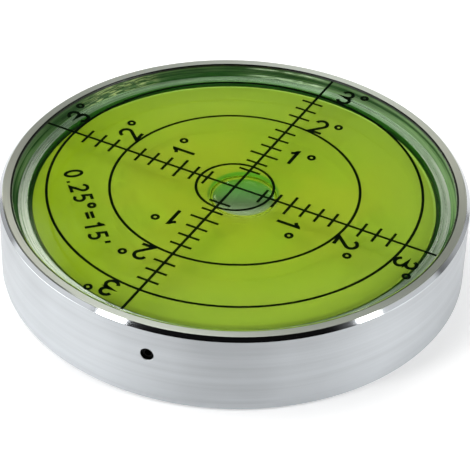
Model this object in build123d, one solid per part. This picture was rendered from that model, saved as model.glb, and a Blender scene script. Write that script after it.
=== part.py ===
from build123d import *
import math
import os

# A round bubble level: a turned metal cup with a liquid chamber under a clear dished lens.
# Sizes are in millimetres. Z = 0 is the flat base that the level stands on.
# The cross of the scale lies on X and Y. Azimuths run anticlockwise from +X, seen from above.

# Clear lens
lens_diameter = 60.3
lens_edge_thickness = 3.3
lens_foot_chamfer = 0.7

# Turned case
lens_gap = 0.15
lens_set_down = 0.1
rim_width = 1.7
ledge_width = 2.2
chamber_depth = 2.2
floor_thickness = 6.4
rim_outer_chamfer = 0.55
rim_inner_chamfer = 0.1
base_chamfer = 0.4

# White backing disc on the chamber floor
disc_thickness = 1.3
disc_gap = 0.6

# Bubble, as it lies under the lens
bubble_diameter = 9.3
bubble_lip = 0.3
bubble_belly = 1.2
bubble_offset = 1.2
bubble_azimuth = 27.4

# Fill port through the case wall, below the ledge
port_azimuth = -81.65
port_bore = 1.75
port_mouth_chamfer = 0.1
port_cover = 0.12
passage_bore = 1.0
seal_thickness = 0.6
screw_length = 2.0
screw_recess = 0.4
screw_clearance = 0.02
screw_end_chamfer = 0.15
socket_across_flats = 0.9
socket_depth = 0.9

# Printed scale on top of the lens
ink_thickness = 0.03
line_width = 0.38
bubble_ring_diameter = 10.62
ring_degrees = (2, 3)
outer_ring_margin = 4.59
first_tick_degree = 0.5
tick_step = 0.25
tick_length = 3.2
whole_tick_length = 4.27
arm_margin = 0.15
arm_count = 4

# Radii that follow from the sizes above
lens_radius = lens_diameter / 2
recess_radius = lens_radius + lens_gap
case_radius = recess_radius + rim_width
chamber_radius = recess_radius - ledge_width
disc_radius = chamber_radius - disc_gap

# Levels of the stack, from the base up
chamber_floor_z = floor_thickness
disc_top_z = chamber_floor_z + disc_thickness
ledge_z = chamber_floor_z + chamber_depth
lens_top_z = ledge_z + lens_edge_thickness
case_top_z = lens_top_z + lens_set_down

# How far the bubble travels under the lens for one degree of tilt
travel_per_degree = (lens_radius - outer_ring_margin) / max(ring_degrees)

# The lens's underside is part of a sphere, whose radius sets that travel
dish_curvature = travel_per_degree / math.tan(math.radians(1))
dish_apex_z = ledge_z + dish_curvature - math.sqrt(dish_curvature**2 - chamber_radius**2)

# Stations along the fill port, measured out from the level's axis
port_z = ledge_z - port_cover - port_bore / 2
screw_outer_end = case_radius - screw_recess
screw_inner_end = screw_outer_end - screw_length
seal_inner_end = screw_inner_end - seal_thickness


def dish_z(radius):
    """Height of the lens's underside at a distance from the axis."""
    drop = dish_curvature - math.sqrt(dish_curvature**2 - radius**2)
    return dish_apex_z - drop


def turned(profile):
    """A solid of revolution about Z from an outline given as radius and height."""
    return revolve(Plane.XZ * profile, Axis.Z)


def port_plane(station):
    """Plane across the fill port, facing outwards, at a distance from the level's axis."""
    angle = math.radians(port_azimuth)
    outward = Vector(math.cos(angle), math.sin(angle), 0)
    return Plane(origin=outward * station + Vector(0, 0, port_z), x_dir=(0, 0, 1), z_dir=outward)


def port_rod(diameter, start, end):
    """Round rod along the fill port between two stations."""
    return extrude(port_plane(start) * Circle(diameter / 2), amount=end - start)


def make_port_mouth():
    """Cone that breaks the edge of the fill port where it opens in the case wall."""
    cone = Cone(
        port_bore / 2,
        port_bore / 2 + 2 * port_mouth_chamfer,
        2 * port_mouth_chamfer,
        align=(Align.CENTER, Align.CENTER, Align.MIN),
    )
    return port_plane(case_radius - port_mouth_chamfer) * cone


def make_case():
    """The cup: outer wall, lens recess, ledge and chamber turned from one bar, with the port drilled."""
    outline = Polyline(
        (0, 0),
        (case_radius - base_chamfer, 0),
        (case_radius, base_chamfer),
        (case_radius, case_top_z - rim_outer_chamfer),
        (case_radius - rim_outer_chamfer, case_top_z),
        (recess_radius + rim_inner_chamfer, case_top_z),
        (recess_radius, case_top_z - rim_inner_chamfer),
        (recess_radius, ledge_z),
        (chamber_radius, ledge_z),
        (chamber_radius, chamber_floor_z),
        (0, chamber_floor_z),
        close=True,
    )
    cup = turned(make_face(outline))
    screw_hole = port_rod(port_bore, seal_inner_end, case_radius + rim_width)
    passage = port_rod(passage_bore, chamber_radius - ledge_width, seal_inner_end)
    return cup - screw_hole - passage - make_port_mouth()


def ball_standing_on(height, radius):
    """Ball whose lowest point is on the axis at a height, with its seam and poles turned to the sides."""
    return Pos(0, 0, height + radius) * Rot(90, 0, 0) * Sphere(radius)


def make_dish_ball():
    """The large ball whose top cap is the dish under the lens."""
    return ball_standing_on(dish_apex_z - 2 * dish_curvature, dish_curvature)


def make_lens():
    """Clear disc, flat on top, with a shallow spherical dish underneath and a bevelled foot."""
    outline = Polyline(
        (0, ledge_z),
        (0, lens_top_z),
        (lens_radius, lens_top_z),
        (lens_radius, ledge_z + lens_foot_chamfer),
        (lens_radius - lens_foot_chamfer, ledge_z),
        close=True,
    )
    return turned(make_face(outline)) - make_dish_ball()


def make_lens_bond():
    """Bead of adhesive that fills the gap round the lens and the bevel of its foot."""
    outline = Polyline(
        (lens_radius, lens_top_z),
        (lens_radius, ledge_z + lens_foot_chamfer),
        (lens_radius - lens_foot_chamfer, ledge_z),
        (recess_radius, ledge_z),
        (recess_radius, lens_top_z),
        close=True,
    )
    return turned(make_face(outline))


def make_backing_disc():
    """Thin white disc that lies on the chamber floor and lights the liquid from below."""
    return Pos(0, 0, chamber_floor_z) * Cylinder(
        disc_radius, disc_thickness, align=(Align.CENTER, Align.CENTER, Align.MIN)
    )


def make_bubble():
    """The air that the liquid leaves free: open against the lens, with a domed belly below."""
    radius = bubble_diameter / 2
    belly_radius = (radius**2 + bubble_belly**2) / (2 * bubble_belly)
    bottom = dish_z(bubble_offset) - bubble_lip - bubble_belly
    column = Pos(0, 0, chamber_floor_z) * Cylinder(
        radius, lens_top_z - chamber_floor_z, align=(Align.CENTER, Align.CENTER, Align.MIN)
    )
    angle = math.radians(bubble_azimuth)
    place = Pos(bubble_offset * math.cos(angle), bubble_offset * math.sin(angle), 0)
    return place * (column & ball_standing_on(bottom, belly_radius))


def make_liquid():
    """The coloured filling: chamber, ring round the disc and port passage, less the bubble."""
    outline = Polyline(
        (0, lens_top_z),
        (0, disc_top_z),
        (disc_radius, disc_top_z),
        (disc_radius, chamber_floor_z),
        (chamber_radius, chamber_floor_z),
        (chamber_radius, lens_top_z),
        close=True,
    )
    filling = turned(make_face(outline)) & make_dish_ball()
    passage = port_rod(passage_bore, chamber_radius - disc_gap / 2, seal_inner_end)
    return filling + passage - make_bubble()


def make_port_seal():
    """Soft round pellet that the screw squeezes against the shoulder of the port."""
    return port_rod(port_bore, seal_inner_end, screw_inner_end)


def make_port_screw():
    """Headless screw with a hexagon socket, sunk just below the case wall."""
    body = port_rod(port_bore - 2 * screw_clearance, screw_inner_end, screw_outer_end)
    ends = body.edges().filter_by(GeomType.CIRCLE)
    body = chamfer(ends, screw_end_chamfer)
    hexagon = RegularPolygon(socket_across_flats / 2, 6, major_radius=False)
    socket = extrude(port_plane(screw_outer_end - socket_depth) * hexagon, amount=socket_depth)
    return body - socket


def make_ring_line(radius):
    """One printed circle."""
    return Circle(radius + line_width / 2) - Circle(radius - line_width / 2)


def make_arm():
    """One arm of the cross along +X, with its graduation."""
    reach = lens_radius - arm_margin
    arm = Pos(reach / 2, 0) * Rectangle(reach, line_width)
    steps = range(round(first_tick_degree / tick_step), round(max(ring_degrees) / tick_step))
    for step in steps:
        degree = step * tick_step
        if degree in ring_degrees:
            continue
        length = whole_tick_length if degree == round(degree) else tick_length
        arm += Pos(degree * travel_per_degree, 0) * Rectangle(line_width, length)
    return arm


def make_scale_markings():
    """The printed scale: bubble ring, degree rings and the graduated cross, as one layer of ink."""
    print_area = make_ring_line(bubble_ring_diameter / 2)
    for degree in ring_degrees:
        print_area += make_ring_line(degree * travel_per_degree)
    for number in range(arm_count):
        print_area += Rot(0, 0, number * 360 / arm_count) * make_arm()
    return extrude(Pos(0, 0, lens_top_z) * print_area, amount=ink_thickness)


nodes = {
    "case": make_case(),
    "lens": make_lens(),
    "lens_bond": make_lens_bond(),
    "backing_disc": make_backing_disc(),
    "liquid": make_liquid(),
    "scale_markings": make_scale_markings(),
    "port_seal": make_port_seal(),
    "port_screw": make_port_screw(),
}

os.makedirs("parts", exist_ok=True)
for name, solid in nodes.items():
    export_step(solid, f"parts/{name}.step")
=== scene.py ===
import math
from collections import namedtuple

import bmesh
import bpy
from bpy.props import FloatProperty, FloatVectorProperty, IntProperty, PointerProperty
from mathutils import Matrix, Vector


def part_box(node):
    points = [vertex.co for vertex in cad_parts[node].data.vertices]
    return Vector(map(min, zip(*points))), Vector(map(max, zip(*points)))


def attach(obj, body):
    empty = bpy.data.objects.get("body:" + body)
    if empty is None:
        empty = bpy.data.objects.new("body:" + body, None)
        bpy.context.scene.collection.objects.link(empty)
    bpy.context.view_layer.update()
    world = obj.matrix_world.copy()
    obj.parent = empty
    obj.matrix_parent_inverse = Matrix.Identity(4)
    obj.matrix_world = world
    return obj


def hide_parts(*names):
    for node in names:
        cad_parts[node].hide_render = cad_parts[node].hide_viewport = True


bl_info = {
    "name": "Bullseye Level",
    "version": (1, 0, 0),
    "blender": (4, 5, 0),
    "location": "View3D > Sidebar > Level",
    "description": "Dresses the solids of a round bubble level: metal, lens, liquid, print and studio",
    "category": "Add Mesh",
}

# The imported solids, and the places that the dressing takes from them
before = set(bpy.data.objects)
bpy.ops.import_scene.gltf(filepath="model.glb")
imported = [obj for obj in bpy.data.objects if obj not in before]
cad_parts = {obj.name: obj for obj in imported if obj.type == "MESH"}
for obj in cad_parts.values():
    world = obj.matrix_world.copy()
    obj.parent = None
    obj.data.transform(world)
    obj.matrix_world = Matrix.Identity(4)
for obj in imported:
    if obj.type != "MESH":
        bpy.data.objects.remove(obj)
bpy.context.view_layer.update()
MM = 0.001
CASE_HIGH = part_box("case")[1]
LENS_LOW, LENS_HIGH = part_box("lens")
BOND_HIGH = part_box("lens_bond")[1]
DISC_LOW, DISC_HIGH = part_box("backing_disc")
LIQUID_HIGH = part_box("liquid")[1]
PRINT_LOW, PRINT_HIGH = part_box("scale_markings")
SCREW_LOW, SCREW_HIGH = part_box("port_screw")

CASE_RADIUS = CASE_HIGH.x
CASE_TOP = CASE_HIGH.z
LENS_RADIUS = LENS_HIGH.x
LENS_TOP = LENS_HIGH.z
LEDGE_HEIGHT = LENS_LOW.z
RECESS_RADIUS = BOND_HIGH.x
CHAMBER_RADIUS = LIQUID_HIGH.x
CHAMBER_FLOOR = DISC_LOW.z
DISC_RADIUS = DISC_HIGH.x
DISC_TOP = DISC_HIGH.z

# Steps round a turned piece, a rod and the floor
TURNED_STEPS = 192
ROD_STEPS = 64
FLOOR_STEPS = 128

# Angles past which a turned edge is rounded, and past which an edge is shaded as sharp
BREAK_ANGLE = math.radians(20)
SHARP_ANGLE = math.radians(12)

# Points nearer to each other than this are merged
MERGE = 0.0005 * MM

# Gap between the level and the floor under it
FLOOR_GAP = 0.02 * MM

# Points on the lens's underside, as shares of the way out from the axis
DISH_SHARES = (0, 0.2, 0.4, 0.6, 0.8, 1)

# Ends of the cutters for the fill port, as shares of the distance that they pass
PAST_WALL = 1.1
PAST_SHOULDER = 1.001
INTO_CHAMBER = 0.95

# Outline of the bubble: its steps, and how round its belly, its shoulder and its rise are, where 1 is round
BUBBLE_STEPS = 24
BUBBLE_BELLY = 0.45
BUBBLE_SHOULDER = 0.16
BUBBLE_RISE = 0.9

# Refraction of the lens and of the liquid, and how strongly each colours the light, per metre
LENS_REFRACTION = 1.49
LENS_DENSITY = 50.0
LIQUID_REFRACTION = 1.37
LIQUID_DENSITY = 2000.0

# Scales of the noise along and across tool marks and streaks
WALL_MARKS = (25, 1300)
FINE_MARKS = (60, 9000)
LEDGE_MARKS = (20, 2200)
BOND_STREAKS = (40, 2600)
BOND_PATCHES = (50, 250)
BOND_FLECKS = (600, 3600)

# Density of the marks on level faces, against 1 on upright ones
LEVEL_MARKS = 0.7

# Scales of the noise in clouds, patches and grain
WALL_CLOUDS = 110
DISC_MOTTLE = 160
DISC_DRIFT = 95
DISC_GRAIN = 4000
INK_GRAIN = 5000
STEEL_GRAIN = 3000
RUBBER_GRAIN = 2500
FLOOR_GRAIN = 40

# Depth of the relief in each finish
METAL_RELIEF = 0.004 * MM
DISC_RELIEF = 0.004 * MM
BOND_RELIEF = 0.03 * MM
INK_RELIEF = 0.003 * MM
STEEL_RELIEF = 0.006 * MM
RUBBER_RELIEF = 0.01 * MM

# How far a mask on the metal reaches past the edge that it ends at
EDGE = 0.03 * MM

# Width of the painted dark reflection along the outer edge of the rim
RIM_REFLECTION_LINE = 0.15 * MM

# Angles from its middle at which each painted mark of light or shade on the metal starts to fade and ends, in
# degrees
FRONT_REFLECTION_SPREAD = (3, 14)
RIM_SHADE_SPREAD = (25, 60)
RIM_REFLECTION_SPREAD = (15, 23)
FAR_LEDGE_SPREAD = (25, 75)

# Height of the painted shadow line along the top of the adhesive
TOP_SHADOW_HEIGHT = 0.45 * MM

# Height of one of the key grooves turned in the wall of the recess, and the pitch between them
GROOVE_HEIGHT = LENS_TOP - 0.95 * MM
GROOVE_PITCH = 2.15 * MM

# Stretches of the adhesive: direction, and the angles from it at which they start to fade and end, in degrees
THIN_STRETCH = (60, 30, 55)
GROOVED_STRETCH = (65, 42, 50)
# The faint and lit stretches hold painted highlight lines
FAINT_STRETCH = (62, 22, 28)
LIT_STRETCH = (103, 6, 13)
FLECKED_STRETCH = (153, 5, 14)

# Soft boxes: azimuth to the right of the camera and elevation in degrees, and width and height in metres
LAMPS = {
    "overhead_box": (-130, 70, (0.7, 0.5)),
    "left_box": (-59.5, 42, (0.165, 0.48)),
    "right_box": (68.5, 39, (0.14, 0.42)),
}

# Places in the sky: azimuth and elevation, the angles from there where they start to fade and end, strength
LOW_PANELS = ((-82, 0, 20, 34, 2.25), (76, 0, 14, 30, 1.2))
SIDE_PANELS = ((-93, 26, 20, 27, 0.9), (86, 28, 16, 22, 0.75))
CARDS = ((-151, 40, 7, 12, 5.0), (153, 32, 7, 12, 0.8))
DARK_ENDS = ((0, 20, 48, 62, 0.97), (180, 36, 8, 17, 0.9))
DARK_CORNER = ((150, 14, 12, 24, 0.75),)

# Light along the horizon between the panels, and the warm white of the cards
HORIZON_LIGHT = 0.4
CARD_COLOUR = (1, 0.95, 0.87, 1)

# A place that a shader colours: X, Y, Z, the distance from the axis and the direction from it
Place = namedtuple("Place", "x y z radius around")


def length(name, description, default):
    """A size property in metres, given in millimetres."""
    return FloatProperty(name=name, description=description, default=default * MM, unit="LENGTH")


def angle(name, description, default):
    """An angle property in radians, given in degrees."""
    return FloatProperty(
        name=name, description=description, default=math.radians(default), subtype="ANGLE"
    )


def power(name, description, default):
    """A lamp's power in watts."""
    return FloatProperty(name=name, description=description, default=default, unit="POWER")


def colour(name, description, default):
    """A colour property."""
    return FloatVectorProperty(
        name=name, description=description, default=default, subtype="COLOR", size=3, min=0, max=1
    )


class LevelForm(bpy.types.PropertyGroup):
    base_chamfer: length("Base chamfer", "Chamfer round the foot of the case", 0.4)
    rim_outer_chamfer: length("Rim outer chamfer", "Bright chamfer outside the rim", 0.55)
    rim_inner_chamfer: length("Rim inner chamfer", "Broken edge inside the rim", 0.1)
    edge_break: length("Edge break", "Rounding of the turned edges", 0.05)
    lens_foot: length("Lens foot", "Bevel round the foot of the lens", 0.7)
    lens_edge_break: length("Lens edge break", "Broken edge on top of the lens", 0.05)
    dish_curvature: length("Dish curvature", "Radius of the sphere under the lens", 488.1)
    wetting: length("Wetting", "How far the clear pieces sink into what they wet", 0.012)
    bubble_diameter: length("Bubble diameter", "Widest part of the bubble", 9.3)
    bubble_depth: length("Bubble depth", "From the lens down to the bottom of the bubble", 1.5)
    bubble_film: length("Bubble film", "Liquid left between the bubble and the lens", 0.03)
    bubble_offset: length("Bubble offset", "From the centre to the middle of the bubble", 1.2)
    bubble_azimuth: angle("Bubble azimuth", "Direction in which the bubble lies", 27.4)
    # The patch is a painted shadow and reflection of the bubble on the disc
    patch_width: length("Patch width", "Width of the patch without glow under the bubble", 10.2)
    patch_length: length("Patch length", "Length of the patch without glow under the bubble", 10.9)
    patch_shift: length("Patch shift", "How far the patch lies towards its green end", 1.2)
    patch_azimuth: angle("Patch azimuth", "Direction of the green end of the patch", 117.4)
    bead_dip: length("Bead dip", "How far the adhesive lies under the top of the lens", 0.1)
    bead_fillet: length("Bead fillet", "Width of the fillet that the adhesive leaves on the lens", 0.075)
    bead_slope: length("Bead slope", "Depth of the adhesive outside that fillet", 0.09)
    port_azimuth: angle("Port azimuth", "Direction of the fill port", -81.65)
    port_bore: length("Port bore", "Diameter of the fill port", 1.75)
    port_mouth: length("Port mouth", "Chamfer round the mouth of the fill port", 0.1)
    port_shoulder: length("Port shoulder", "From the axis to the shoulder in the port", 29.0)
    passage_bore: length("Passage bore", "Diameter of the passage behind the port", 1.0)


class LevelPrint(bpy.types.PropertyGroup):
    arm_count: IntProperty(name="Arms", description="Arms of the cross", default=4, min=1)
    travel: length("Travel", "Bubble travel for one degree", 8.52)
    numeral_height: length("Numeral height", "Height of the degree numerals", 3.35)
    numeral_line: length("Numeral line", "Line width of the numerals", 0.5)
    numeral_along: length("Numeral along", "From its graduation out to a numeral", 1.6)
    numeral_across: length("Numeral across", "From its arm across to a numeral", 3.56)
    sign_along: length("Sign along", "From its graduation out to a degree sign", 2.8)
    sign_across: length("Sign across", "From its arm across to a degree sign", 5.95)
    sign_diameter: length("Sign diameter", "Middle line of a degree sign", 0.86)
    sign_line: length("Sign line", "Line width of the degree signs", 0.4)
    legend_height: length("Legend height", "Height of the graduation legend", 2.6)
    legend_line: length("Legend line", "Line width of the legend", 0.45)
    legend_length: length("Legend length", "Length of the legend", 17)
    legend_shift: length("Legend shift", "How far the legend lies towards its start", 0.8)
    legend_radius: length("Legend radius", "From the centre to the middle of the legend", 20.5)
    legend_azimuth: angle("Legend azimuth", "Direction of the legend from the centre", 225)


class LevelColours(bpy.types.PropertyGroup):
    metal: colour("Metal", "Satin aluminium", (0.59, 0.617, 0.641))
    # The rim colour carries a painted green cast of light from the lens beside it
    rim: colour("Rim", "The flat rim, with a cast from the lens beside it", (0.535, 0.57, 0.505))
    # The chamber colour is painted shade: a dark green for the gap round the disc
    chamber: colour("Chamber", "Dark coat inside the chamber", (0.02, 0.14, 0.006))
    ledge_dark: colour("Ledge, dark", "Grooves in the ledge under the lens", (0.45, 0.5, 0.45))
    # Ledge colours: the edges take painted shade on the far side, the pale lands a painted highlight, and the
    # ledge film colour is the far side without that highlight
    ledge_edge: colour("Ledge, edges", "Edges of the ledge where the liquid wets it", (0.12, 0.28, 0.1))
    ledge_pale: colour("Ledge, pale", "Lands between the ledge's grooves", (0.88, 0.82, 0.92))
    ledge_film: colour("Ledge film", "Ledge where the liquid wets it", (0.68, 0.95, 0.64))
    lens: colour("Lens", "What a thick lens lets through", (0.2, 0.76, 0.0))
    liquid: colour("Liquid", "What the liquid lets through", (0.96, 0.985, 0.75))
    disc: colour("Disc", "Backing disc in the glow of the liquid", (0.53, 0.475, 0.185))
    disc_green: colour("Disc, greener", "Greener patches in the glow", (0.45, 0.455, 0.165))
    # Towards the edge the disc is dimmer, partly for the thinner liquid and partly as painted shade
    disc_edge: colour("Disc edge", "The glow towards the edge of the disc", (0.4, 0.435, 0.13))
    disc_rich: colour("Disc, rich", "Richer glow towards one side of the disc", (0.4, 0.43, 0.02))
    # The lit line along the disc's edge is a painted highlight
    disc_rim: colour("Disc rim", "Lit line along the very edge of the disc", (0.56, 0.64, 0.34))
    # Patch colours: a painted reflection at the grey end and a painted shadow of the bubble towards the green
    # end
    patch_near: colour("Patch, near", "Grey end of the patch under the bubble", (0.4, 0.44, 0.46))
    patch_middle: colour("Patch, middle", "Middle of the patch under the bubble", (0.13, 0.2, 0.13))
    patch_far: colour("Patch, far", "Green end of the patch under the bubble", (0.14, 0.36, 0.13))
    bond_dark: colour("Bond, dark", "Adhesive where it is thick", (0.014, 0.07, 0.012))
    bond_pale: colour("Bond, pale", "Adhesive where it is thin", (0.25, 0.35, 0.18))
    bond_fleck: colour("Bond, flecks", "Flecks where the adhesive leaves the metal", (0.78, 0.76, 0.42))
    # The lit lines are painted highlights
    bond_line: colour("Bond, lines", "Lit lines where the wall's grooves show", (0.95, 0.97, 0.88))
    ink: colour("Ink", "Print on the lens", (0.0015, 0.003, 0.0015))
    steel: colour("Steel", "Blackened screw", (0.004, 0.004, 0.004))
    rubber: colour("Rubber", "Seal in the port", (0.02, 0.02, 0.02))


class LevelStudio(bpy.types.PropertyGroup):
    view_azimuth: angle("View azimuth", "Direction of view, from +Y towards -X", 27.4)
    view_elevation: angle("View elevation", "Height of the camera over the dial", 36.4)
    view_distance: length("View distance", "From the middle of the dial to the camera", 282.2)
    view_pitch: angle("View pitch", "Upward turn away from the middle of the dial", -1.33)
    view_yaw: angle("View yaw", "Leftward turn away from the middle of the dial", -0.043)
    view_roll: angle("View roll", "Turn of the camera about its own axis", 1.762)
    focal_length: FloatProperty(name="Focal length", description="In mm, on a 36 mm sensor", default=158.9)
    lamp_distance: length("Lamp distance", "From the level to each lamp", 900)
    overhead_power: power("Overhead lamp", "Power of the box over the level", 2.7)
    left_power: power("Left lamp", "Power of the box on the camera's left", 2.0)
    right_power: power("Right lamp", "Power of the box on the camera's right", 1.6)
    floor_radius: length("Floor radius", "Size of the floor", 3000)
    floor_colour: colour("Floor colour", "Pale floor", (0.88, 0.88, 0.88))
    floor_lift: FloatProperty(name="Floor lift", description="Glow of the floor in view", default=0.35)


class Signal:
    """One output of a node, for arithmetic with Python's own signs."""

    def __init__(self, tree, socket):
        self.tree = tree
        self.socket = socket

    def math(self, operation, *terms):
        sockets = dict(enumerate((self, *terms)))
        return self.tree.node("Math", {"operation": operation}, sockets)

    def __add__(self, other):
        return self.math("ADD", other)

    __radd__ = __add__

    def __mul__(self, other):
        return self.math("MULTIPLY", other)

    __rmul__ = __mul__

    def __sub__(self, other):
        return self.math("SUBTRACT", other)

    def __rsub__(self, other):
        return self * -1 + other

    def __pow__(self, other):
        return self.math("POWER", other)

    def below(self, other):
        """1 where the signal is under a value, and 0 elsewhere."""
        return self.math("LESS_THAN", other)

    def above(self, other):
        """1 where the signal is over a value, and 0 elsewhere."""
        return self.math("GREATER_THAN", other)

    def beside(self, output):
        """Another output of the same node."""
        return Signal(self.tree, self.socket.node.outputs[output])


class NodeTree:
    """The nodes of one material or world."""

    def __init__(self, owner):
        owner.use_nodes = True
        self.owner = owner
        self.nodes = owner.node_tree.nodes
        self.links = owner.node_tree.links
        self.nodes.clear()

    def node(self, kind, settings, sockets, output=0):
        """Adds a node: first its settings, then the values or links of its sockets."""
        node = self.nodes.new("ShaderNode" + kind)
        for name, value in settings.items():
            if name == "stops":
                self.set_stops(node.color_ramp, value)
            else:
                setattr(node, name, value)
        for name, value in sockets.items():
            if isinstance(value, Signal):
                self.links.new(value.socket, node.inputs[name])
            else:
                node.inputs[name].default_value = value
        if node.outputs:
            return Signal(self, node.outputs[output])

    def set_stops(self, ramp, stops):
        while len(ramp.elements) < len(stops):
            ramp.elements.new(1)
        for element, (place, level) in zip(ramp.elements, stops):
            element.position = place
            element.color = level if isinstance(level, tuple) else (level, level, level, 1)

    def coordinates(self, output="Object"):
        return self.node("TexCoord", {}, {}, output)

    def split(self, vector):
        """The three parts of a vector."""
        x = self.node("SeparateXYZ", {}, {0: vector})
        return x, x.beside(1), x.beside(2)

    def place(self):
        """The place on a piece that is coloured."""
        x, y, z = self.split(self.coordinates())
        radius = (x * x + y * y) ** 0.5
        inward = radius ** -1
        return Place(x, y, z, radius, (x * inward, y * inward, 0))

    def join(self, x, y, z):
        return self.node("CombineXYZ", {}, {0: x, 1: y, 2: z})

    def ramp(self, signal, stops):
        return self.node("ValToRGB", {"stops": stops}, {0: signal})

    def blend(self, factor, first, second):
        """A colour between two colours."""
        return self.node("Mix", {"data_type": "RGBA"}, {0: factor, 6: first, 7: second}, 2)

    def noise(self, vector, scale, detail, roughness=0.5):
        sockets = {"Vector": vector, "Scale": scale, "Detail": detail, "Roughness": roughness}
        return self.node("TexNoise", {}, sockets)

    def near(self, direction, way, inner, outer):
        """1 where a direction lies within an angle of another, falling to 0 at a wider one, in degrees."""
        cosine = direction[0] * way.x + direction[1] * way.y
        if way.z:
            cosine = cosine + direction[2] * way.z
        edge, full = math.cos(math.radians(outer)), math.cos(math.radians(inner))
        return self.node("MapRange", {"interpolation_type": "SMOOTHSTEP"}, {0: cosine, 1: edge, 2: full})

    def turned_vector(self, around, across):
        """Coordinates that run slowly round the axis and fast across the tool marks."""
        x, y, z = self.split(self.coordinates())
        radius = (x * x + y * y) ** 0.5
        return self.join(x * around, y * around, (z + radius * LEVEL_MARKS) * across)

    def bump(self, height, distance):
        return self.node("Bump", {}, {"Height": height, "Distance": distance, "Strength": 1})

    def surface(self, shader, volume=None):
        """Closes a material with its output node."""
        sockets = {"Surface": shader}
        if volume:
            sockets["Volume"] = volume
        self.node("OutputMaterial", {}, sockets)
        return self.owner


def new_finish(name):
    return NodeTree(bpy.data.materials.new(name))


def opaque(tone):
    return (*tone, 1)


def toned(tone, share):
    """A colour made lighter or darker by a share."""
    return opaque([level * share for level in tone])


def heading(azimuth):
    """Direction from the axis, level with the floor."""
    return Vector((math.cos(azimuth), math.sin(azimuth), 0))


def wall_tone(tree, place, colours, form):
    """Turned wall: cloudy along its marks, with painted shade growing towards the top and a faint painted
    dark reflection in front.
    """
    broad = tree.noise(tree.turned_vector(*WALL_MARKS), 1, 3, 0.6)
    cloud = tree.noise(tree.coordinates(), WALL_CLOUDS, 2, 0.5)
    marks = tree.ramp(broad * 0.6 + cloud * 0.4, [(0.3, 0), (0.7, 1)])
    front = tree.near(place.around, -heading(form.patch_azimuth), *FRONT_REFLECTION_SPREAD)
    painted_dark_reflection = front * place.z.above(CASE_TOP * 0.1)
    # Painted shade: the z term darkens the wall towards the top, and the front term paints a dark reflection
    shade = marks * 0.85 - place.z * (0.45 / CASE_TOP) - painted_dark_reflection * 0.4 + 0.56
    return tree.blend(shade, toned(colours.metal, 0.78), opaque(colours.metal))


def rim_tone(tree, place, colours, form):
    """Flat rim: painted shade on one side, and there a thin painted dark reflection along its outer edge."""
    rim_shade_side = heading(form.patch_azimuth + math.radians(120))
    # Painted shade darkens one side of the rim
    rim_shade = tree.near(place.around, rim_shade_side, *RIM_SHADE_SPREAD)
    rim = tree.blend(rim_shade, opaque(colours.rim), toned(colours.rim, 0.85))
    # Painted dark reflection: a thin dark line along the outer edge, on the shaded side
    line = (CASE_RADIUS - place.radius).below(form.rim_outer_chamfer + RIM_REFLECTION_LINE)
    line = line * tree.near(place.around, rim_shade_side, *RIM_REFLECTION_SPREAD)
    return tree.blend(line, rim, toned(colours.rim, 0.2))


def ledge_tone(tree, place, colours, form):
    """Ledge under the lens: turned grooves and lands, with a painted highlight on the lands except on the far
    side, where the lands are greener and painted shade darkens both edges.
    """
    grooves = tree.noise(tree.turned_vector(*LEDGE_MARKS), 1, 4, 0.7)
    lands = tree.ramp(grooves, [(0.38, 0), (0.6, 1)])
    # The film mask marks the far side of the ledge, where the painted highlight on the lands gives way to
    # green
    film = tree.near(place.around, heading(form.patch_azimuth), *FAR_LEDGE_SPREAD)
    lit_lands = tree.blend(film, opaque(colours.ledge_pale), opaque(colours.ledge_film))
    ledge = tree.blend(lands, opaque(colours.ledge_dark), lit_lands)
    across = (place.radius - CHAMBER_RADIUS) * (1 / (RECESS_RADIUS - CHAMBER_RADIUS))
    # Painted shade along the ledge's inner and outer edges, on the far side
    edges = tree.ramp(across, [(0.0, 1), (0.3, 0), (0.75, 0), (1.0, 0.8)])
    return tree.blend(edges * film * 0.8, ledge, opaque(colours.ledge_edge))


def blackened(place, form):
    """1 on the broken edge inside the rim and in the fill port, where black is painted as shade."""
    from_bore = place.radius - place.z + (CASE_TOP - RECESS_RADIUS)
    inner_cut = from_bore.below(form.rim_inner_chamfer + EDGE) * place.z.above(LENS_TOP - EDGE)
    port = heading(form.port_azimuth)
    outward = place.x * port.x + place.y * port.y
    aside = place.y * port.x - place.x * port.y
    level = place.z - port_height()
    in_bore = (aside * aside + level * level).below((form.port_bore / 2 + EDGE) ** 2)
    return inner_cut + in_bore * outward.above(0)


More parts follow.
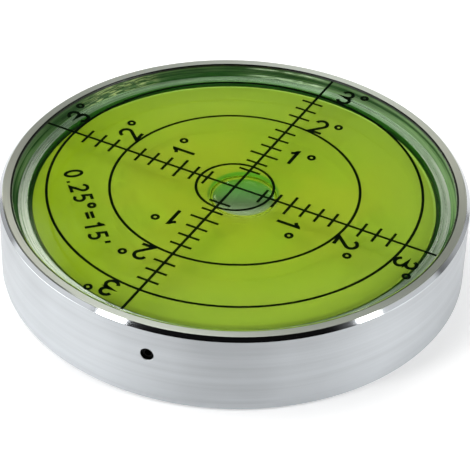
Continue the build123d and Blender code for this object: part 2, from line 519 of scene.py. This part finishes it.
def turned_metal(colours, form):
    """Satin aluminium with fine tool marks round the axis, a bright-cut chamfer, painted dark green shade in
    the chamber, and black painted as shade on the broken edge inside the rim and in the fill port.
    """
    tree = new_finish("turned_aluminium")
    place = tree.place()
    fine = tree.noise(tree.turned_vector(*FINE_MARKS), 1, 4, 0.65)
    wall = wall_tone(tree, place, colours, form)
    rim = rim_tone(tree, place, colours, form)
    outside = tree.blend(place.z.above(CASE_TOP - EDGE * 2), wall, rim)
    in_height = place.z.above(CHAMBER_FLOOR - EDGE) * place.z.below(LENS_TOP - EDGE)
    inside = place.radius.below(RECESS_RADIUS + EDGE) * in_height
    chamber = inside * place.radius.below(CHAMBER_RADIUS + EDGE)
    turned = tree.blend(inside, outside, ledge_tone(tree, place, colours, form))
    # Painted shade: the chamber wall takes a dark green colour
    coated = tree.blend(chamber, turned, opaque(colours.chamber))
    from_edge = CASE_RADIUS + CASE_TOP - place.radius - place.z
    bright_cut = from_edge.below(form.rim_outer_chamfer + EDGE)
    sockets = {
        # The ink colour is used here as painted black shade
        "Base Color": tree.blend(blackened(place, form), coated, opaque(colours.ink)),
        "Metallic": 1 - chamber - (inside - chamber) * 0.15,
        "Roughness": fine * 0.1 + 0.43 - bright_cut * 0.4 - inside * 0.2,
        "Anisotropic": 0.75,
        "Anisotropic Rotation": 0.25,
        "Normal": tree.bump(fine, METAL_RELIEF),
    }
    return tree.surface(tree.node("BsdfPrincipled", {}, sockets))


def clear_finish(name, tint, refraction, density):
    """Clear material that takes its colour from its depth, and lets the lamps shine through."""
    tree = new_finish(name)
    sockets = {"Base Color": (1, 1, 1, 1), "Roughness": 0.0, "IOR": refraction, "Transmission Weight": 1.0}
    glass = tree.node("BsdfPrincipled", {}, sockets)
    clear = tree.node("BsdfTransparent", {}, {})
    shadow_ray = tree.node("LightPath", {}, {}, "Is Shadow Ray")
    surface = tree.node("MixShader", {}, {0: shadow_ray, 1: glass, 2: clear})
    dye = tree.node("VolumeAbsorption", {}, {"Color": opaque(tint), "Density": density})
    return tree.surface(surface, dye)


def edge_glow(tree, place, glow, colours, form):
    """The glow near the disc's edge: dimmer, partly from the thinner liquid there and partly painted shade,
    with a painted highlight line behind, a painted shade line in front and a rich side.
    """
    ahead = heading(form.patch_azimuth)
    rich_side = heading(form.patch_azimuth + math.pi / 2)
    outward = place.radius * (1 / DISC_RADIUS)
    glow = tree.blend(tree.ramp(outward, [(0.55, 0), (1.0, 1)]), glow, opaque(colours.disc_edge))
    bands = (
        # A painted highlight line behind, a painted shade line in front, and a richer side
        (ahead, (80, 110), (0.985, 0.99), opaque(colours.disc_rim)),
        (-ahead, (30, 60), (0.96, 0.985), toned(colours.disc_edge, 0.65)),
        (rich_side, (25, 75), (0.6, 0.9), opaque(colours.disc_rich)),
    )
    for way, angles, (start, full), tone in bands:
        band = tree.ramp(outward, [(start, 0), (full, 1)]) * tree.near(place.around, way, *angles)
        glow = tree.blend(band, glow, tone)
    return glow


def disc_finish(colours, form):
    """Smooth disc in the glow of the liquid, with greener patches, and under the bubble a painted shadow and
    reflection of the bubble, grey to green.
    """
    tree = new_finish("moulded_disc")
    place = tree.place()
    mottle = tree.noise(tree.coordinates(), DISC_MOTTLE, 3, 0.55)
    drift = tree.noise(tree.coordinates(), DISC_DRIFT, 2, 0.5)
    glow = tree.blend(mottle, opaque(colours.disc), toned(colours.disc, 0.93))
    glow = tree.blend(tree.ramp(drift, [(0.42, 0), (0.62, 1)]), glow, opaque(colours.disc_green))
    glow = edge_glow(tree, place, glow, colours, form)
    ahead = heading(form.patch_azimuth)
    middle = heading(form.bubble_azimuth) * form.bubble_offset + ahead * form.patch_shift
    x, y = place.x - middle.x, place.y - middle.y
    along = (x * ahead.x + y * ahead.y) * (2 / form.patch_length)
    across = (y * ahead.x - x * ahead.y) * (2 / form.patch_width)
    outward = (across * across + along * along) ** 0.5
    # Painted shadow and reflection of the bubble, grey at its near end and green at its far end
    tones = (colours.patch_near, colours.patch_middle, colours.patch_far)
    stops = [(share, opaque(tone)) for share, tone in zip((0.12, 0.4, 0.7), tones)]
    patch = tree.ramp(along * 0.5 + 0.5, stops)
    grain = tree.noise(tree.coordinates(), DISC_GRAIN, 2)
    sockets = {
        "Base Color": tree.blend(tree.ramp(outward, [(0.92, 1), (1.0, 0)]), glow, patch),
        "Roughness": mottle * 0.1 + 0.45,
        "Normal": tree.bump(grain, DISC_RELIEF),
    }
    return tree.surface(tree.node("BsdfPrincipled", {}, sockets))


def bond_finish(colours):
    """Adhesive in a grooved recess: dark green, pale where it is thin, flecked, with painted highlight lines,
    and a painted black shadow line on top.
    """
    tree = new_finish("green_adhesive")
    place = tree.place()
    streaks = tree.noise(tree.turned_vector(*BOND_STREAKS), 1, 4, 0.75)
    patches = tree.noise(tree.turned_vector(*BOND_PATCHES), 1, 2, 0.5)
    flecks = tree.noise(tree.turned_vector(*BOND_FLECKS), 1, 2)

    def stretch(azimuth, inner, outer):
        return tree.near(place.around, heading(math.radians(azimuth)), inner, outer)

    thin = stretch(*THIN_STRETCH)
    groove = ((place.z - GROOVE_HEIGHT) * (math.tau / GROOVE_PITCH)).math("COSINE")
    cover = streaks * 0.55 + patches * 0.45 + thin * groove * 0.1 - thin * 0.02
    bead = tree.blend(
        tree.ramp(cover, [(0.46, 0), (0.6, 1)]), opaque(colours.bond_dark), opaque(colours.bond_pale)
    )
    bright = tree.ramp(flecks, [(0.5, 0), (0.58, 1)]) * stretch(*FLECKED_STRETCH)
    bead = tree.blend(bright, bead, opaque(colours.bond_fleck))
    broken = tree.ramp(flecks, [(0.38, 0.1), (0.55, 1)])
    # Painted highlight lines where the wall's grooves show
    lines = tree.ramp(groove + (patches - 0.5) * 1.6, [(0.6, 0), (0.95, 1)])
    lines = lines * (stretch(*LIT_STRETCH) * broken + stretch(*FAINT_STRETCH) * 0.1)
    bead = tree.blend(lines, bead, opaque(colours.bond_line))
    between = tree.ramp(groove * -1, [(0.45, 0), (0.8, 1)]) * stretch(*GROOVED_STRETCH) * 0.85
    bead = tree.blend(between, bead, opaque(colours.bond_dark))
    # Painted shadow: a black line along the top of the adhesive, in the gap beside the lens
    top_shadow = (place.z + thin * (TOP_SHADOW_HEIGHT * -0.3)).above(LENS_TOP - TOP_SHADOW_HEIGHT)
    sockets = {
        "Base Color": tree.blend(top_shadow, bead, (0, 0, 0, 1)),
        "Roughness": streaks * 0.3 + 0.2,
        "Normal": tree.bump(streaks, BOND_RELIEF),
    }
    return tree.surface(tree.node("BsdfPrincipled", {}, sockets))


def ink_finish(colours):
    """Baked ink, nearly black."""
    name = "printed_ink"
    if name in bpy.data.materials:
        return bpy.data.materials[name]
    tree = new_finish(name)
    grain = tree.noise(tree.coordinates(), INK_GRAIN, 2)
    shade = tree.blend(grain, opaque(colours.ink), toned(colours.ink, 2))
    sockets = {
        "Base Color": shade,
        "Roughness": grain * 0.15 + 0.5,
        "Specular IOR Level": 0.0,
        "Normal": tree.bump(grain, INK_RELIEF),
    }
    return tree.surface(tree.node("BsdfPrincipled", {}, sockets))


def steel_finish(colours):
    """Blackened steel."""
    tree = new_finish("blackened_steel")
    grain = tree.noise(tree.coordinates(), STEEL_GRAIN, 3)
    shade = tree.blend(grain, opaque(colours.steel), toned(colours.steel, 2.5))
    sockets = {
        "Base Color": shade,
        "Metallic": 1.0,
        "Roughness": grain * 0.2 + 0.35,
        "Normal": tree.bump(grain, STEEL_RELIEF),
    }
    return tree.surface(tree.node("BsdfPrincipled", {}, sockets))


def rubber_finish(colours):
    """Dull black rubber."""
    tree = new_finish("dull_rubber")
    grain = tree.noise(tree.coordinates(), RUBBER_GRAIN, 3)
    sockets = {
        "Base Color": opaque(colours.rubber),
        "Roughness": grain * 0.15 + 0.7,
        "Normal": tree.bump(grain, RUBBER_RELIEF),
    }
    return tree.surface(tree.node("BsdfPrincipled", {}, sockets))


def floor_finish(studio):
    """Pale floor that shows as white, with the object's shadow on it."""
    tree = new_finish("studio_floor")
    camera_ray = tree.node("LightPath", {}, {}, "Is Camera Ray")
    seen = camera_ray + camera_ray.beside("Is Glossy Ray") + camera_ray.beside("Is Transmission Ray")
    grain = tree.noise(tree.coordinates(), FLOOR_GRAIN, 2)
    shade = tree.blend(grain, opaque(studio.floor_colour), toned(studio.floor_colour, 0.99))
    diffuse = tree.node("BsdfDiffuse", {}, {"Color": shade})
    glow = tree.node("Emission", {}, {"Color": (1, 1, 1, 1), "Strength": studio.floor_lift})
    nothing = tree.node("Emission", {}, {"Strength": 0.0})
    lift = tree.node("MixShader", {}, {0: seen, 1: nothing, 2: glow})
    return tree.surface(tree.node("AddShader", {}, {0: diffuse, 1: lift}))


def new_piece(name, mesh, finish=None):
    """Puts a finished bmesh into the scene, with its place in its mesh."""
    data = bpy.data.meshes.new(name)
    mesh.to_mesh(data)
    mesh.free()
    piece = bpy.data.objects.new(name, data)
    bpy.context.scene.collection.objects.link(piece)
    if finish:
        data.materials.append(finish)
    return piece


def smooth(piece):
    """Shades round stretches smooth and keeps real edges sharp."""
    piece.data.shade_smooth()
    piece.data.set_sharp_from_angle(angle=SHARP_ANGLE)


def lathe(outline, on_axis):
    """Spins an outline of radius and height points once round the Z axis."""
    mesh = bmesh.new()
    points = [mesh.verts.new((radius, 0, height)) for radius, height in outline]
    ends = points[1:] if on_axis else points[1:] + points[:1]
    edges = [mesh.edges.new(pair) for pair in zip(points, ends)]
    bmesh.ops.spin(
        mesh,
        geom=points + edges,
        cent=(0, 0, 0),
        axis=(0, 0, 1),
        angle=math.tau,
        steps=TURNED_STEPS,
        use_merge=True,
    )
    bmesh.ops.remove_doubles(mesh, verts=mesh.verts, dist=MERGE)
    bmesh.ops.recalc_face_normals(mesh, faces=mesh.faces)
    return mesh


def break_edges(mesh, size):
    """Rounds the turned edges."""
    sharp = [edge for edge in mesh.edges if edge.is_manifold and edge.calc_face_angle() > BREAK_ANGLE]
    bmesh.ops.bevel(
        mesh,
        geom=sharp,
        offset=size,
        offset_type="OFFSET",
        segments=2,
        profile=0.5,
        affect="EDGES",
        material=-1,
        clamp_overlap=True,
    )
    return mesh


def rod(diameter, start, end, azimuth, end_diameter=None):
    """Round or tapered rod at the height of the fill port, between two distances from the axis."""
    mesh = bmesh.new()
    middle = Matrix.Translation(((start + end) / 2, 0, port_height()))
    along = Matrix.Rotation(math.pi / 2, 4, "Y")
    bmesh.ops.create_cone(
        mesh,
        cap_ends=True,
        segments=ROD_STEPS,
        radius1=diameter / 2,
        radius2=(end_diameter or diameter) / 2,
        depth=end - start,
        matrix=Matrix.Rotation(azimuth, 4, "Z") @ middle @ along,
    )
    return mesh


def apply_modifiers(piece):
    graph = bpy.context.evaluated_depsgraph_get()
    shaped = bpy.data.meshes.new_from_object(piece.evaluated_get(graph))
    piece.modifiers.clear()
    piece.data = shaped


def carve(piece, cutter_meshes, operation="DIFFERENCE"):
    """Cuts other shapes out of a piece, or joins them to it."""
    for mesh in cutter_meshes:
        cutter = new_piece("cutter", mesh)
        cut = piece.modifiers.new("cut", "BOOLEAN")
        cut.operation = operation
        cut.solver = "EXACT"
        cut.object = cutter
        apply_modifiers(piece)
        bpy.data.objects.remove(cutter)


def dress(piece, slot, *nodes):
    """Fixes a finished piece to the level, in the place of the solids that it stands for."""
    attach(piece, "root")
    if nodes:
        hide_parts(*nodes)


def refinish(node, finish):
    """Gives a solid that stays in view its finish."""
    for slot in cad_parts[node].material_slots:
        slot.material = finish


def dish_height(form, radius):
    """Height of the lens's underside at a distance from the axis."""
    def cap(distance):
        return math.sqrt(form.dish_curvature**2 - distance**2)
    return LEDGE_HEIGHT + cap(radius) - cap(CHAMBER_RADIUS)


def dish_outline(form, edge, lift):
    """Points along the lens's underside, from the axis out to an edge."""
    distances = [edge * share for share in DISH_SHARES]
    return [(distance, dish_height(form, distance) + lift) for distance in distances]


def port_height():
    return (SCREW_LOW.z + SCREW_HIGH.z) / 2


class LEVEL_OT_case(bpy.types.Operator):
    """Turn the case and bore its fill port"""
    bl_idname = "level.case"
    bl_label = "Case"

    def execute(self, context):
        form = context.scene.level_form
        outline = [
            (0, 0),
            (CASE_RADIUS - form.base_chamfer, 0),
            (CASE_RADIUS, form.base_chamfer),
            (CASE_RADIUS, CASE_TOP - form.rim_outer_chamfer),
            (CASE_RADIUS - form.rim_outer_chamfer, CASE_TOP),
            (RECESS_RADIUS + form.rim_inner_chamfer, CASE_TOP),
            (RECESS_RADIUS, CASE_TOP - form.rim_inner_chamfer),
            (RECESS_RADIUS, LEDGE_HEIGHT),
            (CHAMBER_RADIUS, LEDGE_HEIGHT),
            (CHAMBER_RADIUS, CHAMBER_FLOOR),
            (0, CHAMBER_FLOOR),
        ]
        mesh = break_edges(lathe(outline, on_axis=True), form.edge_break)
        piece = new_piece("turned_case", mesh, turned_metal(context.scene.level_colours, form))
        carve(piece, self.port_cutters(form))
        smooth(piece)
        dress(piece, "turned_metal", "case")
        return {"FINISHED"}

    def port_cutters(self, form):
        """The bore for the screw, the passage behind it, and the chamfer at the mouth."""
        azimuth = form.port_azimuth
        bore = rod(form.port_bore, form.port_shoulder, CASE_RADIUS * PAST_WALL, azimuth)
        passage_end = form.port_shoulder * PAST_SHOULDER
        passage = rod(form.passage_bore, CHAMBER_RADIUS * INTO_CHAMBER, passage_end, azimuth)
        start, end = CASE_RADIUS - form.port_mouth, CASE_RADIUS + form.port_mouth
        mouth = rod(form.port_bore, start, end, azimuth, form.port_bore + 4 * form.port_mouth)
        return [bore, passage, mouth]


class LEVEL_OT_disc(bpy.types.Operator):
    """Turn the backing disc that lies under the liquid"""
    bl_idname = "level.disc"
    bl_label = "Backing disc"

    def execute(self, context):
        form = context.scene.level_form
        outline = [(0, CHAMBER_FLOOR), (DISC_RADIUS, CHAMBER_FLOOR), (DISC_RADIUS, DISC_TOP), (0, DISC_TOP)]
        mesh = break_edges(lathe(outline, on_axis=True), form.edge_break)
        piece = new_piece("pale_backing_disc", mesh, disc_finish(context.scene.level_colours, form))
        smooth(piece)
        dress(piece, "white_disc", "backing_disc")
        return {"FINISHED"}


class LEVEL_OT_liquid(bpy.types.Operator):
    """Fill the chamber with liquid and leave the bubble free"""
    bl_idname = "level.liquid"
    bl_label = "Liquid"

    def execute(self, context):
        form = context.scene.level_form
        sunk = form.wetting
        rim = CHAMBER_RADIUS + sunk
        outline = [
            (0, DISC_TOP - sunk),
            (DISC_RADIUS - sunk, DISC_TOP - sunk),
            (DISC_RADIUS - sunk, CHAMBER_FLOOR - sunk),
            (rim, CHAMBER_FLOOR - sunk),
            *reversed(dish_outline(form, rim, sunk)),
        ]
        finish = clear_finish(
            "dyed_spirit", context.scene.level_colours.liquid, LIQUID_REFRACTION, LIQUID_DENSITY
        )
        piece = new_piece("green_filling", lathe(outline, on_axis=True), finish)
        bore = form.passage_bore + 2 * sunk
        passage = rod(bore, DISC_RADIUS + sunk * 2, form.port_shoulder, form.port_azimuth)
        carve(piece, [passage], "UNION")
        carve(piece, [self.bubble(form)])
        smooth(piece)
        dress(piece, "green_liquid", "liquid")
        return {"FINISHED"}

    def bubble(self, form):
        """A flattened drop of air with round sides, under a film of liquid that wets the lens."""
        radius = form.bubble_diameter / 2
        top = dish_height(form, form.bubble_offset) - form.bubble_film
        half = (form.bubble_depth - form.bubble_film) / 2
        outline = []
        for step in range(BUBBLE_STEPS + 1):
            turn = math.radians(-90 + 180 * step / BUBBLE_STEPS)
            corner = BUBBLE_BELLY if turn < 0 else BUBBLE_SHOULDER
            across = radius * math.cos(turn) ** corner if 0 < step < BUBBLE_STEPS else 0
            rise = math.copysign(abs(math.sin(turn)) ** BUBBLE_RISE, turn)
            outline.append((across, top - half + half * rise))
        mesh = lathe(outline, on_axis=True)
        middle = heading(form.bubble_azimuth) * form.bubble_offset
        bmesh.ops.translate(mesh, verts=mesh.verts, vec=middle)
        return mesh


class LEVEL_OT_lens(bpy.types.Operator):
    """Turn the clear lens, flat on top and dished underneath"""
    bl_idname = "level.lens"
    bl_label = "Lens"

    def execute(self, context):
        form = context.scene.level_form
        sunk = form.wetting
        edge = LENS_RADIUS + sunk
        outline = [
            *dish_outline(form, CHAMBER_RADIUS, 0)[:-1],
            (CHAMBER_RADIUS, LEDGE_HEIGHT - sunk),
            (edge - form.lens_foot, LEDGE_HEIGHT - sunk),
            (edge, LEDGE_HEIGHT + form.lens_foot - sunk),
            (edge, LENS_TOP - form.lens_edge_break),
            (edge - form.lens_edge_break, LENS_TOP),
            (0, LENS_TOP),
        ]
        finish = clear_finish(
            "polished_lens", context.scene.level_colours.lens, LENS_REFRACTION, LENS_DENSITY
        )
        piece = new_piece("clear_lens", lathe(outline, on_axis=True), finish)
        smooth(piece)
        dress(piece, "clear_lens", "lens")
        return {"FINISHED"}


class LEVEL_OT_bond(bpy.types.Operator):
    """Run the bead of adhesive round the lens"""
    bl_idname = "level.bond"
    bl_label = "Bond"

    def execute(self, context):
        form = context.scene.level_form
        outline = [
            (LENS_RADIUS, LENS_TOP - form.bead_dip),
            (LENS_RADIUS, LEDGE_HEIGHT + form.lens_foot),
            (LENS_RADIUS - form.lens_foot, LEDGE_HEIGHT),
            (RECESS_RADIUS, LEDGE_HEIGHT),
            (RECESS_RADIUS, LENS_TOP),
            (LENS_RADIUS + form.bead_fillet, LENS_TOP - form.bead_slope),
        ]
        finish = bond_finish(context.scene.level_colours)
        piece = new_piece("lens_bead", lathe(outline, on_axis=False), finish)
        smooth(piece)
        dress(piece, "bond", "lens_bond")
        return {"FINISHED"}


class LEVEL_OT_port(bpy.types.Operator):
    """Finish the screw and the seal in the fill port"""
    bl_idname = "level.port"
    bl_label = "Port screw and seal"

    def execute(self, context):
        colours = context.scene.level_colours
        refinish("port_screw", steel_finish(colours))
        refinish("port_seal", rubber_finish(colours))
        return {"FINISHED"}


def arc(middle, radii, start, end, steps):
    """Points along part of an ellipse, from one angle to another, in degrees."""
    turns = [math.radians(start + (end - start) * step / steps) for step in range(steps + 1)]
    return [(middle[0] + radii[0] * math.cos(turn), middle[1] + radii[1] * math.sin(turn)) for turn in turns]


# Middle and radius of the ring of a degree sign in its cell
DEGREE_MIDDLE = (0.21, 0.78)
DEGREE_RADIUS = 0.16

# What one graduation is worth
LEGEND = "0.25°=15'"

# Width of each sign, and its strokes as middle lines in a cell one unit high: points, and whether they close
SIGNS = {
    "0": (0.62, [(arc((0.31, 0.5), (0.24, 0.44), 90, 450, 32)[:-1], True)]),
    "1": (0.62, [([(0.14, 0.73), (0.27, 0.81), (0.36, 0.93), (0.38, 0.94), (0.38, 0)], False)]),
    "2": (0.62, [(arc((0.31, 0.7), (0.24, 0.24), 170, -35, 14) + [(0.06, 0.06), (0.58, 0.06)], False)]),
    "3": (
        0.62,
        [
            (
                arc((0.3, 0.73), (0.22, 0.21), 165, -75, 12)
                + [(0.27, 0.52)]
                + arc((0.3, 0.28), (0.25, 0.22), 80, -170, 14),
                False,
            )
        ],
    ),
    "5": (
        0.62,
        [
            (
                [(0.54, 0.94), (0.16, 0.94), (0.12, 0.53)]
                + arc((0.29, 0.31), (0.25, 0.25), 112, -135, 14),
                False,
            )
        ],
    ),
    "°": (0.42, [(arc(DEGREE_MIDDLE, (DEGREE_RADIUS, DEGREE_RADIUS), 90, 450, 20)[:-1], True)]),
    "=": (0.68, [([(0.06, 0.62), (0.62, 0.62)], False), ([(0.06, 0.36), (0.62, 0.36)], False)]),
    ".": (0.24, [([(0.05, 0.065), (0.19, 0.065)], False)]),
    "'": (0.2, [([(0.1, 1), (0.1, 0.7)], False)]),
}


def add_strokes(mesh, sign, place):
    """Adds the middle lines of a sign to a mesh, placed by a matrix."""
    for points, closes in SIGNS[sign][1]:
        verts = [mesh.verts.new(place @ Vector((x, y, 0))) for x, y in points]
        ends = verts[1:] + verts[:1] if closes else verts[1:]
        for pair in zip(verts, ends):
            mesh.edges.new(pair)


def ink_strokes(name, mesh, width, finish):
    """Raises middle lines to the height of the ink and widens them to its lines."""
    raised = bmesh.ops.extrude_edge_only(mesh, edges=mesh.edges)
    verts = [part for part in raised["geom"] if isinstance(part, bmesh.types.BMVert)]
    bmesh.ops.translate(mesh, verts=verts, vec=(0, 0, PRINT_HIGH.z - PRINT_LOW.z))
    piece = new_piece(name, mesh, finish)
    widen = piece.modifiers.new("line width", "SOLIDIFY")
    widen.thickness = width
    widen.offset = 0
    widen.use_even_offset = True
    apply_modifiers(piece)
    dress(piece, "black_ink")


def cell(size, x, y, turn):
    """Matrix that places a unit cell on the lens, turned about the middle of the dial."""
    return (
        Matrix.Rotation(turn, 4, "Z")
        @ Matrix.Translation((x, y, PRINT_LOW.z))
        @ Matrix.Diagonal((size, size, 1, 1))
    )


class LEVEL_OT_scale(bpy.types.Operator):
    """Print the cross, the rings and the degree numerals on the lens"""
    bl_idname = "level.scale"
    bl_label = "Scale and numerals"

    def execute(self, context):
        layout = context.scene.level_print
        finish = ink_finish(context.scene.level_colours)
        refinish("scale_markings", finish)
        numerals = bmesh.new()
        signs = bmesh.new()
        for arm in range(layout.arm_count):
            turn = math.tau * arm / layout.arm_count
            for degree in (1, 2, 3):
                self.numeral(numerals, signs, layout, degree, turn)
        ink_strokes("degree_numerals", numerals, layout.numeral_line, finish)
        ink_strokes("degree_signs", signs, layout.sign_line, finish)
        return {"FINISHED"}

    def numeral(self, numerals, signs, layout, degree, turn):
        """One numeral and its degree sign, beside their graduation."""
        ring = layout.travel * degree
        size = layout.numeral_height
        x = layout.numeral_across - SIGNS[str(degree)][0] / 2 * size
        y = ring + layout.numeral_along - size / 2
        add_strokes(numerals, str(degree), cell(size, x, y, turn))
        size = layout.sign_diameter / (2 * DEGREE_RADIUS)
        x = layout.sign_across - DEGREE_MIDDLE[0] * size
        y = ring + layout.sign_along - DEGREE_MIDDLE[1] * size
        add_strokes(signs, "°", cell(size, x, y, turn))


class LEVEL_OT_legend(bpy.types.Operator):
    """Print what one graduation is worth, in degrees and minutes"""
    bl_idname = "level.legend"
    bl_label = "Legend"

    def execute(self, context):
        layout = context.scene.level_print
        size = layout.legend_height
        natural = sum(SIGNS[sign][0] for sign in LEGEND) * size
        space = (layout.legend_length - natural) / (len(LEGEND) - 1)
        turn = layout.legend_azimuth + math.pi / 2
        mesh = bmesh.new()
        x = -layout.legend_length / 2 - layout.legend_shift
        for sign in LEGEND:
            add_strokes(mesh, sign, cell(size, x, -layout.legend_radius - size / 2, turn))
            x += SIGNS[sign][0] * size + space
        finish = ink_finish(context.scene.level_colours)
        ink_strokes("graduation_legend", mesh, layout.legend_line, finish)
        return {"FINISHED"}


class LEVEL_OT_studio(bpy.types.Operator):
    """Set up the floor, the light and the camera"""
    bl_idname = "level.studio"
    bl_label = "Studio"

    def execute(self, context):
        studio = context.scene.level_studio
        self.floor(studio)
        self.sky(context.scene, studio)
        middle = Vector((0, 0, LENS_TOP))
        self.lamp(studio, middle, "overhead_box", studio.overhead_power)
        self.lamp(studio, middle, "left_box", studio.left_power)
        self.lamp(studio, middle, "right_box", studio.right_power)
        self.camera(context.scene, studio, middle)
        return {"FINISHED"}

    def floor(self, studio):
        mesh = bmesh.new()
        bmesh.ops.create_circle(mesh, cap_ends=True, segments=FLOOR_STEPS, radius=studio.floor_radius)
        bmesh.ops.translate(mesh, verts=mesh.verts, vec=(0, 0, -FLOOR_GAP))
        new_piece("floor", mesh, floor_finish(studio))

    def towards(self, studio, azimuth, elevation):
        """Direction from the level, as an azimuth to the right of the camera and an elevation, in degrees."""
        rise = math.radians(elevation)
        level = heading(studio.view_azimuth + math.radians(azimuth - 90))
        return level * math.cos(rise) + Vector((0, 0, math.sin(rise)))

    def sky(self, scene, studio):
        """Studio surroundings: pale panels on each side, dark in front, and two cards behind the level."""
        world = bpy.data.worlds.new("studio")
        scene.world = world
        tree = NodeTree(world)
        direction = tree.split(tree.coordinates("Generated"))

        def light(places):
            """The light of several places, added up."""
            spots = []
            for azimuth, elevation, inner, outer, strength in places:
                way = self.towards(studio, azimuth, elevation)
                spots.append(tree.near(direction, way, inner, outer) * strength)
            return sum(spots)

        low = tree.ramp(direction[2], [(0.0, 1), (0.2, 1), (0.32, 0)])
        overhead = tree.ramp(direction[2], [(0.75, 0.22), (1.0, 0.75)])
        open_sky = (1 - light(DARK_ENDS)) * (1 - light(DARK_CORNER))
        strength = (overhead + low * (light(LOW_PANELS) + HORIZON_LIGHT)) * open_sky + light(SIDE_PANELS)
        panels = tree.node("Background", {}, {"Color": (1, 1, 1, 1), "Strength": strength})
        cards = tree.node("Background", {}, {"Color": CARD_COLOUR, "Strength": light(CARDS)})
        tree.node("OutputWorld", {}, {"Surface": tree.node("AddShader", {}, {0: panels, 1: cards})})

    def lamp(self, studio, middle, name, watts):
        """A soft box that faces the level."""
        azimuth, elevation, size = LAMPS[name]
        data = bpy.data.lights.new(name, "AREA")
        data.shape = "RECTANGLE"
        data.size, data.size_y = size
        data.energy = watts
        box = bpy.data.objects.new(name, data)
        box.visible_camera = False
        bpy.context.scene.collection.objects.link(box)
        towards = self.towards(studio, azimuth, elevation)
        box.matrix_world = (
            Matrix.Translation(middle + towards * studio.lamp_distance)
            @ towards.to_track_quat("Z", "Y").to_matrix().to_4x4()
        )

    def camera(self, scene, studio, middle):
        data = bpy.data.cameras.new("camera")
        data.lens = studio.focal_length
        data.clip_start = 0.01
        camera = bpy.data.objects.new("camera", data)
        scene.collection.objects.link(camera)
        turn = Matrix.Rotation(studio.view_azimuth, 4, "Z")
        back = Vector((0, -math.cos(studio.view_elevation), math.sin(studio.view_elevation)))
        camera.matrix_world = (
            Matrix.Translation(middle + turn @ back * studio.view_distance)
            @ turn
            @ Matrix.Rotation(math.pi / 2 - studio.view_elevation + studio.view_pitch, 4, "X")
            @ Matrix.Rotation(studio.view_yaw, 4, "Y")
            @ Matrix.Rotation(studio.view_roll, 4, "Z")
        )
        scene.camera = camera
        scene.view_settings.view_transform = "Standard"


OPERATORS = (
    LEVEL_OT_studio,
    LEVEL_OT_case,
    LEVEL_OT_disc,
    LEVEL_OT_liquid,
    LEVEL_OT_lens,
    LEVEL_OT_bond,
    LEVEL_OT_port,
    LEVEL_OT_scale,
    LEVEL_OT_legend,
)

GROUPS = {
    "level_form": LevelForm,
    "level_print": LevelPrint,
    "level_colours": LevelColours,
    "level_studio": LevelStudio,
}


class LEVEL_PT_panel(bpy.types.Panel):
    """Lists the steps that dress the level"""
    bl_idname = "LEVEL_PT_panel"
    bl_label = "Bullseye Level"
    bl_space_type = "VIEW_3D"
    bl_region_type = "UI"
    bl_category = "Level"

    def draw(self, context):
        for operator in OPERATORS:
            self.layout.operator(operator.bl_idname)


def register():
    for group_name, group in GROUPS.items():
        bpy.utils.register_class(group)
        setattr(bpy.types.Scene, group_name, PointerProperty(type=group))
    for operator in OPERATORS:
        bpy.utils.register_class(operator)
    bpy.utils.register_class(LEVEL_PT_panel)


def unregister():
    bpy.utils.unregister_class(LEVEL_PT_panel)
    for operator in reversed(OPERATORS):
        bpy.utils.unregister_class(operator)
    for group_name, group in GROUPS.items():
        delattr(bpy.types.Scene, group_name)
        bpy.utils.unregister_class(group)


def main():
    register()
    for operator in OPERATORS:
        module, step = operator.bl_idname.split(".")
        getattr(getattr(bpy.ops, module), step)()


if __name__ == "__main__":
    main()
